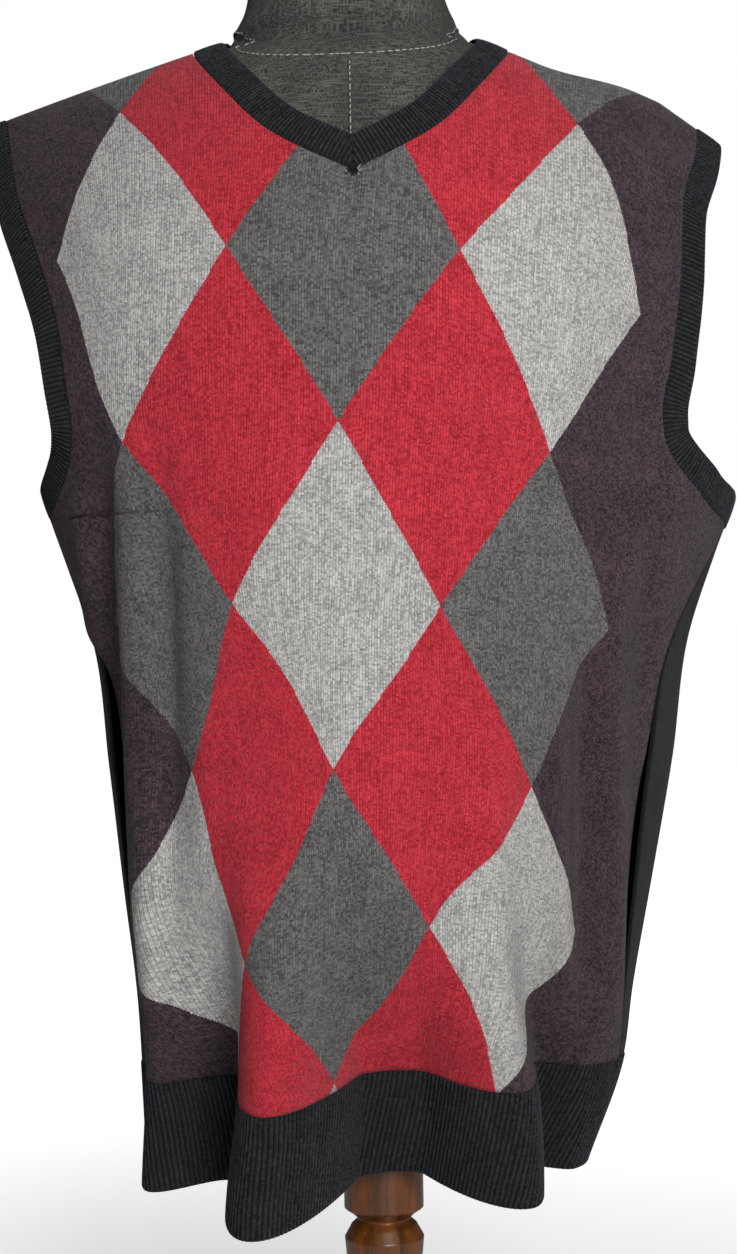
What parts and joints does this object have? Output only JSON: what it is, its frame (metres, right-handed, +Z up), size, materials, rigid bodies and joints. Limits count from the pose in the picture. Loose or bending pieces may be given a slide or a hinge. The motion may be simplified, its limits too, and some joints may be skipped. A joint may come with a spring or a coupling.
{
  "type": "knitted sweater vest on a limbless dress form with a turned wood stand",
  "caption": "V-neck sleeveless knitted pullover with an argyle front and ribbed neck, armholes and hem, worn by a linen dress form on a wood stand.",
  "frame": {"origin": "on the floor, at the middle of the underside of the round foot", "axes": "+Z up, the garment's front faces -Y, +X is to the right seen from the front"},
  "size_m": [0.4823, 0.32, 1.037],
  "materials": {
    "argyle_knit": "fine gauge intarsia knit in red, greys and a dark heather, soft and matt",
    "black_knit": "fine gauge plain knit in black, matt",
    "rib_knit": "one by one rib in black, matt",
    "linen": "slubby plain woven linen in dark grey, matt",
    "turned_wood": "turned hardwood, stained brown, satin varnish"
  },
  "bodies": {
    "root": {"front_panel": "argyle_knit", "back_panel": "black_knit", "hem_rib_front": "rib_knit", "hem_rib_back": "rib_knit", "neckband": "rib_knit", "armhole_band_left": "rib_knit", "armhole_band_right": "rib_knit", "form_torso": "linen", "stand_column": "turned_wood", "stand_foot": "turned_wood"}
  },
  "joints": []
}
